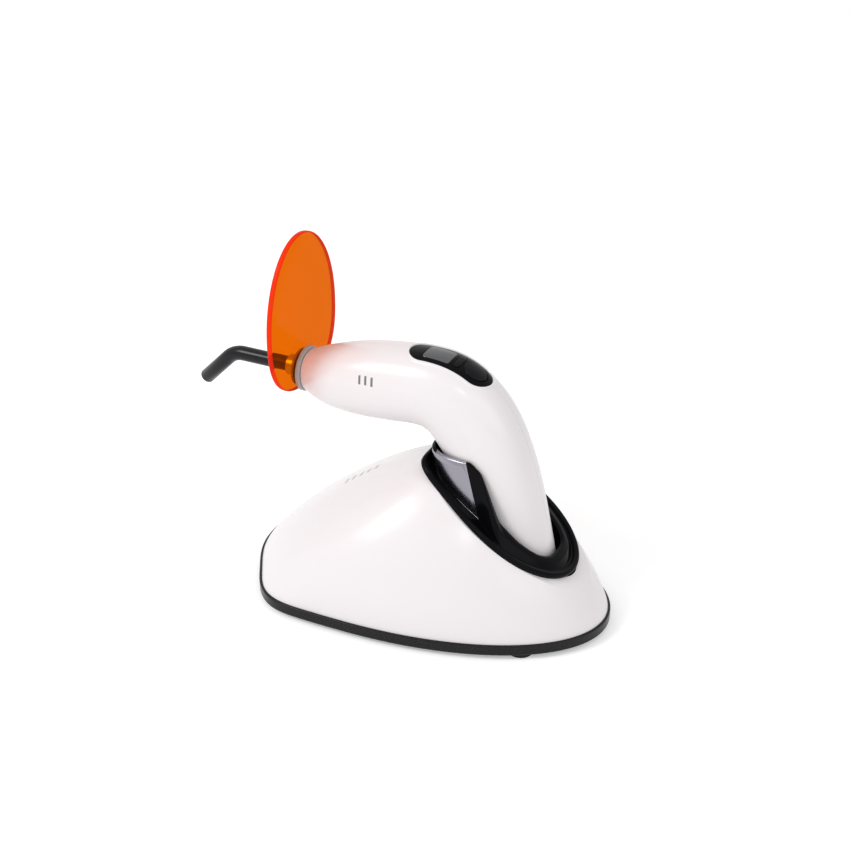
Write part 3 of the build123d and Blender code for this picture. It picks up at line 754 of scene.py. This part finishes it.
def lip_outline(half_width, inset, turn):
    """Places along and across the slanted cut, on the lip's outline drawn in by an inset."""
    front, rear = lip_front + inset, lip_rear - inset
    return soft_egg(front, lip_middle, rear, half_width - inset, lip_corner, lip_corner_angle, turn)


def eased(back, corners):
    """Height along the handle's axis at each place behind it, on a run of straight lines between corners.

    The corners are eased by averaging the height over a short sliding window.
    """
    places, heights = np.array(corners).T
    window = np.linspace(-1.2, 1.2, 9)
    weight = 1 - np.abs(window) / 1.5
    samples = np.interp(back[..., None] + window, places, heights)
    return (samples * weight).sum(-1) / weight.sum()


class LIGHT_OT_cradle(bpy.types.Operator):
    """Build the glossy cradle: its lip, the groove inside it and the cup with its raised cheeks"""

    bl_idname = "curing.cradle"
    bl_label = "Build the cradle"

    def execute(self, context):
        """One closed sheet: profile rows from the lip's foot, over lip, groove and rim, and down the cup."""
        sizes = context.scene.curing_cradle
        half_width, wall = mm(sizes.cup_half_width), mm(sizes.cup_wall)
        # Angles at even steps along the cup's rim and its crease taken together
        dense = np.linspace(0, 2 * np.pi, 6001)
        back, side = cup_outline(dense, half_width, cup_front, cup_rear)
        steps = 0
        for corners in (rim_corners, crease_corners):
            line = np.stack([back, side, eased(back, corners)], -1)
            steps = steps + np.linalg.norm(np.diff(line, axis=0), axis=1)
        walked = np.concatenate([[0], np.cumsum(steps)])
        count = 480
        turn = np.interp(np.arange(count) / count * walked[-1], walked, dense)
        back, side = cup_outline(turn, half_width, cup_front, cup_rear)
        inner_back, inner_side = cup_outline(turn, half_width - wall, cup_front + wall, cup_rear - wall)
        rim = eased(back, rim_corners)
        crease = eased(back, crease_corners)

        def on_cup(behind, aside, rise):
            """Point of the cup from its two places across the handle's axis and its height along it."""
            return (
                handle_foot
                + behind[:, None] * handle_back
                + aside[:, None] * sideways
                + rise[:, None] * handle_up
            )

        def on_web(point, height):
            """The point slid along the handle's axis until it stands a height off the slanted cut."""
            away = (point - cradle_front) @ plane_out
            return point + ((height - away) / (handle_up @ plane_out))[:, None] * handle_up

        cup_foot = on_web(on_cup(back, side, rim), web_height)
        lip_turn = self.matching_turn(sizes, cup_foot)

        def on_lip(inset, height):
            """Point of the lip's outline drawn in by an inset, a height off the slanted cut."""
            along, across = lip_outline(mm(sizes.lip_half_width), inset, lip_turn)
            point = along[:, None] * plane_along + across[:, None] * sideways + height * plane_out
            return point + cradle_front

        gap = np.linalg.norm(cup_foot - on_lip(0.0, web_height), axis=1)
        width = np.clip(gap - groove_least, lip_least, mm(sizes.lip_width))
        tall = mm(sizes.lip_height)
        rearward = np.clip((back - blend_start) / blend_run, 0, 1)
        rearward = (rearward**2 * (3 - 2 * rearward))[:, None]
        foot = cup_foot * (1 - rearward) + on_lip(width + groove_rear, web_height) * rearward
        rim_outer = on_cup(back * rim_lean[0], side * rim_lean[1], rim - 0.5)
        ridge = foot * 0.5 + rim_outer * 0.5 + ridge_height * plane_out
        shoulder = on_cup(back, side, crease) * (1 - rearward) + ridge * rearward
        # The lip's foot, outer face, crest and inner face, then the groove, the cup's shoulder and its rim
        profile = np.array(
            [
                on_lip(0.3, 0.02),
                on_lip(0.0, 0.5),
                on_lip(0.0, tall - 0.9),
                on_lip(width * 0.35, tall),
                on_lip(width - 0.3, tall - 0.5),
                on_lip(width + 0.2, web_height),
                foot,
                shoulder,
                rim_outer,
                on_cup(inner_back, inner_side, rim),
                on_cup(inner_back, inner_side, rim - 1.5),
                on_cup(inner_back, inner_side, 0 * rim + cup_floor),
            ]
        )
        roundings = (0.2, 0.8, 0.9, 0.7, 0.6, 0.6, 0.5, 0.5, 0.4, 0.4)
        rows = rounded(profile, roundings)
        closing = [
            on_cup(0 * back, 0 * side, 0 * rim + cup_floor),
            on_cup(0 * back, 0 * side, 0 * rim + cup_bottom),
            on_cup(back, side, 0 * rim + cup_bottom),
            on_web(on_cup(back, side, rim), 0.0),
        ]
        grid = np.concatenate([rows, closing])
        cradle = grid_piece("cradle_form", grid, wrap_rows=True, sharp=28)
        place(cradle, "base", materials["black"], "black_shell", "cradle")
        self.cheeks(cradle, half_width)
        return {"FINISHED"}

    def cheeks(self, cradle, half_width):
        """Give the flat faces on both sides of the cup, before the crease, a lighter satin metallic finish
        that paints their reflection on the black plastic.

        A face is on the cup's wall where its superellipse sum is one, and the lip's faces lie outside it.
        """
        centres, facing = faces_of(cradle)
        away = centres - handle_foot
        back, rise = away @ handle_back, away @ handle_up
        above = (centres - cradle_front) @ plane_out
        total = np.abs((back - (cup_front + cup_rear) / 2) * 2 / (cup_rear - cup_front)) ** cup_power
        total += np.abs(away[:, 1] / half_width) ** cup_power
        outward = facing[:, 1] * np.sign(away[:, 1])
        below_rim = rise < eased(back, rim_corners) - 0.8
        flat = (back > cup_front + 2) & (back < cheek_rear) & (above > web_height + 0.1) & (total < 1.03)
        # Below the rim a face has to look outwards; on the rim it may look up, but not at the cup's front
        flat &= np.where(below_rim, outward > 0.2, (outward > -0.2) & (back > -24))
        # Painted reflection: these faces take the lighter metallic finish in place of the black
        second_finish(cradle, materials["cheek_reflection"], flat)

    def matching_turn(self, sizes, foot):
        """Angle on the lip's outline in the same direction from its middle as each point of the cup."""
        dense = np.linspace(0, 2 * np.pi, 4001)
        along, across = lip_outline(mm(sizes.lip_half_width), 0.0, dense)
        lip_way = np.unwrap(np.arctan2(across, along - lip_centre))
        offset = foot - cradle_front
        cup_way = np.arctan2(offset @ sideways, offset @ plane_along - lip_centre)
        cup_way = np.where(cup_way > lip_way.max(), cup_way - 2 * np.pi, cup_way)
        cup_way = np.where(cup_way < lip_way.min(), cup_way + 2 * np.pi, cup_way)
        order = np.argsort(lip_way)
        return np.interp(cup_way, lip_way[order], dense[order])


class LIGHT_OT_housing(bpy.types.Operator):
    """Build the handpiece's two housing halves, with the panel's seat cut through them"""

    bl_idname = "curing.housing"
    bl_label = "Build the housing"

    def execute(self, context):
        """Each half is a closed sheet: round the outside from seam to seam and back along the inside."""
        sizes = context.scene.curing_handpiece
        wall = mm(sizes.wall)
        travel = np.linspace(0, housing.knots[-1], 150)[:, None]
        for name, side, node in (("housing_near", -1, "left_housing"), ("housing_far", 1, "right_housing")):
            turn = -side * np.pi / 2 + np.linspace(0, np.pi, 90)
            outside = housing.point(travel, turn)
            inside = housing.point(travel, turn[::-1], np.interp(travel, (0, nose_run), (nose_wall, wall)))
            grid = np.concatenate([outside, inside], axis=1)
            grid[..., 1] = side * np.maximum(side * grid[..., 1], mm(sizes.seam))
            half = self.half(name, grid)
            seat = slot_path(mm(sizes.panel_length), mm(sizes.panel_width), 0.1)
            cutter = prism("seat", seat, *panel_plane, -11, 9)
            cut_out(half, cutter)
            place(half, "handpiece", materials["shell"], "white_shell", node)
        return {"FINISHED"}

    def half(self, name, grid):
        """One half: quads over its grid, and a strip between outside and inside at each open end."""
        rows, columns = grid.shape[:2]
        faces = grid_faces(rows, columns, False)
        for row in (0, rows - 1):
            first = row * columns
            for step in range(columns // 2 - 1):
                other = columns - 1 - step
                faces.append([first + step, first + step + 1, first + other - 1, first + other])
        piece = mesh_piece(name, grid, faces)
        shade(piece, sharp_angle)
        return piece


class LIGHT_OT_panel(bpy.types.Operator):
    """Build the control panel: its raised edge, plate, display window and two buttons"""

    bl_idname = "curing.panel"
    bl_label = "Build the control panel"

    def execute(self, context):
        """Rows of skin points at offsets from the panel's slot outline, then holes for what shows in it."""
        sizes = context.scene.curing_handpiece
        long, wide = mm(sizes.panel_length), mm(sizes.panel_width)
        sunk = -mm(sizes.panel_recess)

        def slot(offset):
            """The panel's outline pushed out by an offset."""
            return slot_path(long, wide, offset)

        # Corners of the raised edge's section: offset from the panel's outline, and height over the skin
        edge = [
            (1.7, -0.12), (1.3, 0.12), (0.8, 0.28), (0.3, 0.3), (0.05, 0.2),
            (0.0, 0.0), (0.0, -1.6), (0.1, -2.4), (1.2, -2.4),
        ]
        lip = grid_piece("panel_edge", skin_rows(slot, *zip(*edge)), wrap_rows=True, sharp=60)
        place(lip, "handpiece", materials["shell"], "white_shell")

        plate = self.patch("panel_plate", slot, wide / 2, sunk, plate_bottom, caps=False)
        circle = full_turn(64)
        reach = mm(sizes.power_radius)

        def power(offset):
            """The power button's outline, pushed out by an offset."""
            return power_x + (reach + offset) * np.cos(circle), (reach + offset) * np.sin(circle)

        def mode(offset):
            """The mode button's outline, a slot across the panel, pushed out by an offset."""
            along, across = slot_path(*mode_size, offset, 64)
            return mode_x + across, -along

        def window(offset):
            """The display window's outline, a rectangle with rounded corners, pushed out by an offset."""
            along = (display_size[0] / 2 + offset) * power_wave(np.cos(circle), window_power)
            across = (display_size[1] / 2 + offset) * power_wave(np.sin(circle), window_power)
            return display_x + along, across

        for outline, gap in ((power, 0.3), (mode, 0.3), (window, 0.05)):
            cut_out(plate, prism("opening", outline(gap), *panel_plane, -9, 8))
        place(plate, "handpiece", materials["black"], "panel_black", "control_panel")
        glass = self.patch("display_glass", window, 6.0, sunk + 0.02, plate_bottom)
        place(glass, "handpiece", materials["window"], "display_clear", "display_window")
        cap = self.patch("power_cap", power, reach - 0.02, sunk + 0.15, cap_bottom, dome=0.12)
        place(cap, "power_button", materials["button"], "button_black", "power_button")
        bar = self.patch("mode_cap", mode, 1.7, sunk + 0.15, cap_bottom, dome=0.1)
        place(bar, "mode_button", materials["button"], "button_black", "mode_button")
        return {"FINISHED"}

    def patch(self, name, outline, reach, top, bottom, dome=0.0, caps=True):
        """A plate on the skin: rings from the middle out to the outline, over its edge and back below.

        Where the rings start at the middle line itself they meet there, and no cap is needed.
        """
        share, chamfer = np.linspace(1, 0, 9)[:-1], 0.15
        offsets = [*(-reach * share), -chamfer, 0.0, 0.0, *(-reach * share[::-1])]
        heights = [*(top + dome * share), top, top - chamfer, bottom, *(bottom + 0 * share)]
        rows = skin_rows(outline, offsets, heights)
        return grid_piece(name, rows, caps=caps)


class LIGHT_OT_marks(bpy.types.Operator):
    """Print the plain bars on the head and on the base"""

    bl_idname = "curing.marks"
    bl_label = "Print the bars"

    def execute(self, context):
        """Thin raised patches that follow the skin of the head and of the dome."""
        base = context.scene.curing_base

        def on_dome(height, turn, inset):
            """A point of the dome, as the housing's own point function gives one of the head."""
            return dome_point(base, height, turn, inset)

        self.bars("head_bar", head_bars, housing.point, (6.8, 15, 0.62), "handpiece", "marks")
        self.bars("base_bar", dome_bars, on_dome, (3.2, 9, 0.42), "base", "faint_marks")
        return {"FINISHED"}

    def bars(self, name, places, point, size, body, finish):
        """Bars on a surface, each a closed strip with five corners to its section.

        size is half the strip's angle in degrees, its number of steps and half its width.
        """
        reach, count, half = size
        section = ((-half, -0.03), (0.0, -0.03), (half, -0.03), (half, 0.25), (-half, 0.25))
        for number, (across, turn) in enumerate(places):
            along = np.radians(turn + np.linspace(-reach, reach, count))
            rows = [point(across + step + 0 * along, along, inset) for step, inset in section]
            piece = grid_piece(f"{name}_{number + 1}", np.stack(rows, 1), caps=True)
            place(piece, body, materials[finish], "display_grey")


class LIGHT_OT_guide(bpy.types.Operator):
    """Build the glass rod, its ferrule, the rubber ring and the tinted shield"""

    bl_idname = "curing.guide"
    bl_label = "Build the guide and shield"

    def execute(self, context):
        """Rod carried along its path; ferrule and ring turned round the axis; shield from its outline."""
        sizes = context.scene.curing_guide
        self.rod(sizes)
        axis = mm(sizes.axis_height)
        # Corners of the ferrule's section: place along the guide, and radius
        ferrule = [
            (-52, 4.03), (-52, 5.2), (-52.4, 5.6), (-67.3, 5.6), (-67.3, 5.0),
            (-68.7, 5.0), (-68.7, 5.6), (-84.9, 5.6), (-85.4, 5.1), (-85.4, 4.03),
        ]
        sleeve = grid_piece("ferrule", turned(ferrule, axis), wrap_rows=True)
        place(sleeve, "light_guide", materials["steel"], "sleeve_metal", "guide_ferrule")
        grip = grid_piece("ring_form", turned(self.ring_profile(sizes), axis, 128), wrap_rows=True, sharp=50)
        place(grip, "shield", materials["ring"], "ring_rubber", "shield_ring")
        self.shield(sizes)
        return {"FINISHED"}

    def ring_profile(self, sizes):
        """Profile of the rubber ring: a bore, a front flange, the shield's groove and a thick rear flange.

        A quarter circle at angle a rounds a flange's edge: it is set back by r(1 - sin a) and r(1 - cos a).
        """
        quarter = np.radians(np.linspace(0, 90, 7))
        along, down = ring_edge_radius * (1 - np.sin(quarter)), ring_edge_radius * (1 - np.cos(quarter))
        slim, broad = mm(sizes.ring_front_radius), mm(sizes.ring_rear_radius)
        front, rear = shield_front, shield_front + mm(sizes.shield_thickness)
        front_edge = list(zip(ring_front + along, slim - down))[::-1]
        rear_edge = list(zip(ring_rear - along, broad - down))
        groove = [(front, slim), (front, ring_groove), (rear, ring_groove), (rear, broad)]
        return [(ring_front, ring_bore), *front_edge, *groove, *rear_edge, (ring_rear, ring_bore)]

    def rod(self, sizes):
        """A circle carried along a straight run, an arc that turns down, and the tip's straight run."""
        radius, bend = mm(sizes.radius), mm(sizes.bend_radius)
        axis = mm(sizes.axis_height)
        angle = np.linspace(0, guide_bend_angle, 28)
        tip = mm(sizes.tip_length) * np.array((chamfer_start, 1))
        x = guide_bend_x - bend * np.sin(angle)
        z = axis - bend * (1 - np.cos(angle))
        heading = np.concatenate([[0, 0], angle, [angle[-1]] * 2])
        x = np.concatenate([[guide_start_x, guide_bend_x + 0.01], x, x[-1] - np.cos(angle[-1]) * tip])
        z = np.concatenate([[axis, axis], z, z[-1] - np.sin(angle[-1]) * tip])
        size = np.full(len(x), radius)
        size[-1] = radius - tip_chamfer
        turn = full_turn(72)
        tall = size[:, None] * np.sin(turn)
        grid = np.stack(
            [
                x[:, None] - np.sin(heading)[:, None] * tall,
                size[:, None] * np.cos(turn),
                z[:, None] + np.cos(heading)[:, None] * tall,
            ],
            -1,
        )
        rod = grid_piece("glass_rod", grid, caps=True)
        place(rod, "light_guide", materials["rod"], "guide_glass", "light_guide")

    def shield(self, sizes):
        """Rings of one outline at insets and depths, with a round edge, down to the hole for the ring."""
        turn = full_turn(240)
        upper = np.sin(turn) >= 0
        power = np.where(upper, 2.0, shield_lower_power)
        reach = np.where(
            upper, mm(sizes.shield_top) - shield_middle, shield_middle - mm(sizes.shield_bottom)
        )
        across = mm(sizes.shield_half_width) * power_wave(np.cos(turn), power)
        flat = np.stack([across, shield_middle + reach * power_wave(np.sin(turn), power)], -1)
        tangent = np.roll(flat, -1, axis=0) - np.roll(flat, 1, axis=0)
        inward = np.stack([-tangent[:, 1], tangent[:, 0]], -1)
        inward = inward / np.linalg.norm(inward, axis=1, keepdims=True)
        hub = np.array((0.0, mm(sizes.axis_height)))
        way = flat - hub
        hole = hub + shield_bore * way / np.linalg.norm(way, axis=1, keepdims=True)
        inner = flat + inward * shield_edge_radius
        half = [(0.0, hole)]
        half += [(0.0, hole * (1 - share) + inner * share) for share in np.linspace(0.15, 0.85, 5)]
        for angle in np.radians(np.linspace(0, 90, 6)):
            depth = shield_edge_radius * (1 - np.cos(angle))
            half.append((depth, flat + inward * shield_edge_radius * (1 - np.sin(angle))))
        front, rear = shield_front, shield_front + mm(sizes.shield_thickness)
        rows = [(front + depth, ring) for depth, ring in half]
        rows += [(rear - depth, ring) for depth, ring in reversed(half)]
        grid = np.array([np.column_stack([np.full(len(flat), x), ring]) for x, ring in rows])
        plate = grid_piece("tinted_shield", grid, wrap_rows=True)
        place(plate, "shield", materials["shield"], "shield_orange", "light_shield")
        # The edge faces get the redder copy of the shield, which paints the light gathered at the plate's rim
        centres, facing = faces_of(plate)
        edge = (np.abs(facing[:, 0]) < 0.9) & (centres[:, 0] > front) & (centres[:, 0] < rear)
        second_finish(plate, materials["shield_edge"], edge)


class LIGHT_OT_stage(bpy.types.Operator):
    """Set the pale floor, the soft studio light and the camera"""

    bl_idname = "curing.stage"
    bl_label = "Set the stage"

    def execute(self, context):
        """A plain floor, a white world, three lamps and a camera at the photograph's angle."""
        self.floor()
        self.world(context.scene)
        self.lamps()
        self.camera(context.scene)
        return {"FINISHED"}

    def floor(self):
        """A pale plane on the table's level."""
        mesh = bpy.data.meshes.new("floor")
        mesh.from_pydata([(-4, -4, 0), (4, -4, 0), (4, 4, 0), (-4, 4, 0)], [], [(0, 1, 2, 3)])
        floor = bpy.data.objects.new("floor", mesh)
        bpy.context.scene.collection.objects.link(floor)
        material = bpy.data.materials.new("floor")
        material.use_nodes = True
        shader = material.node_tree.nodes["Principled BSDF"]
        shader.inputs["Base Color"].default_value = (0.93, 0.93, 0.93, 1)
        shader.inputs["Roughness"].default_value = 0.9
        shader.inputs["Specular IOR Level"].default_value = 0.0
        shader.inputs["Emission Color"].default_value = (1, 1, 1, 1)
        glow = {0: self.seen_directly(material.node_tree), 1: floor_glow}
        glowing = add_node(material.node_tree, "ShaderNodeMath", glow, "MULTIPLY")
        material.node_tree.links.new(glowing.outputs[0], shader.inputs["Emission Strength"])
        mesh.materials.append(material)

    def seen_directly(self, tree):
        """An output that gives one for camera, glossy and transmission rays, and nothing for the rest."""
        path = add_node(tree, "ShaderNodeLightPath", {}).outputs
        seen = {0: path["Is Camera Ray"], 1: path["Is Transmission Ray"]}
        straight = add_node(tree, "ShaderNodeMath", seen, "MAXIMUM")
        any_of_them = {0: straight.outputs[0], 1: path["Is Glossy Ray"]}
        return add_node(tree, "ShaderNodeMath", any_of_them, "MAXIMUM").outputs[0]

    def world(self, scene):
        """A plain world that lights softly, and is white to the camera, in gloss and through glass."""
        world = bpy.data.worlds.new("studio")
        scene.world = world
        world.use_nodes = True
        seen = self.seen_directly(world.node_tree)
        levels = {"Value": seen, "To Min": world_light, "To Max": 1.0}
        strength = add_node(world.node_tree, "ShaderNodeMapRange", levels)
        background = world.node_tree.nodes["Background"]
        background.inputs["Color"].default_value = (1, 1, 1, 1)
        world.node_tree.links.new(strength.outputs["Result"], background.inputs["Strength"])

    def lamps(self):
        """A key from the front left above, a weaker fill from the right and a small strip near the camera."""
        # Name, place in metres, size in metres and power in watts
        for name, where, size, power in (
            ("key", (-0.9, -1.0, 1.3), 0.6, 12),
            ("fill", (1.2, -0.6, 0.8), 0.9, 2.6),
            ("strip", (0.5, -1.0, 1.0), 0.16, 0.9),
        ):
            lamp = bpy.data.lights.new(name, "AREA")
            lamp.size = size
            lamp.energy = power
            holder = bpy.data.objects.new(name, lamp)
            bpy.context.scene.collection.objects.link(holder)
            holder.location = where
            aim = Vector((0, 0, 0.08)) - holder.location
            holder.rotation_euler = aim.to_track_quat("-Z", "Y").to_euler()

    def camera(self, scene):
        """A camera 0.8 m from the object, turned 26 degrees to its right and 28.87 degrees up."""
        turn, rise, away = math.radians(26.0), math.radians(28.87), 0.8
        target = Vector(((-4.91 + frame_shift) / 1000, 0, 0.09794))
        back = Vector((math.sin(turn) * math.cos(rise), -math.cos(turn) * math.cos(rise), math.sin(rise)))
        data = bpy.data.cameras.new("camera")
        data.lens = 65.54
        data.sensor_width = 36
        data.clip_start = 0.01
        camera = bpy.data.objects.new("camera", data)
        scene.collection.objects.link(camera)
        camera.location = target + back * away
        camera.rotation_euler = (-back).to_track_quat("-Z", "Y").to_euler()
        scene.camera = camera
        scene.view_settings.view_transform = "Standard"


class LIGHT_PT_panel(bpy.types.Panel):
    """Sidebar panel that lists the steps and the sizes"""

    bl_idname = "LIGHT_PT_panel"
    bl_label = "Curing light"
    bl_space_type = "VIEW_3D"
    bl_region_type = "UI"
    bl_category = "Curing light"

    def draw(self, context):
        """One button for each step, then every size and colour."""
        for step in steps:
            self.layout.operator(step.bl_idname)
        for group in size_groups:
            box = self.layout.box()
            values = getattr(context.scene, group)
            for key in values.bl_rna.properties.keys():
                if key not in {"rna_type", "name"}:
                    box.prop(values, key)


steps = (
    LIGHT_OT_finishes,
    LIGHT_OT_node_finishes,
    LIGHT_OT_base,
    LIGHT_OT_cradle,
    LIGHT_OT_housing,
    LIGHT_OT_panel,
    LIGHT_OT_marks,
    LIGHT_OT_guide,
    LIGHT_OT_stage,
)
size_groups = {
    "curing_base": BaseSizes,
    "curing_cradle": CradleSizes,
    "curing_handpiece": HandpieceSizes,
    "curing_guide": GuideSizes,
    "curing_colours": Colours,
}


def register():
    """Register the sizes, the steps and the panel."""
    for name, group in size_groups.items():
        bpy.utils.register_class(group)
        setattr(bpy.types.Scene, name, PointerProperty(type=group))
    for step in (*steps, LIGHT_PT_panel):
        bpy.utils.register_class(step)


def unregister():
    """Take back what register added."""
    for step in (LIGHT_PT_panel, *reversed(steps)):
        bpy.utils.unregister_class(step)
    for name, group in size_groups.items():
        delattr(bpy.types.Scene, name)
        bpy.utils.unregister_class(group)


def main():
    """Build every piece in order."""
    register()
    for step in steps:
        category, name = step.bl_idname.split(".")
        getattr(getattr(bpy.ops, category), name)()


if __name__ == "__main__":
    main()
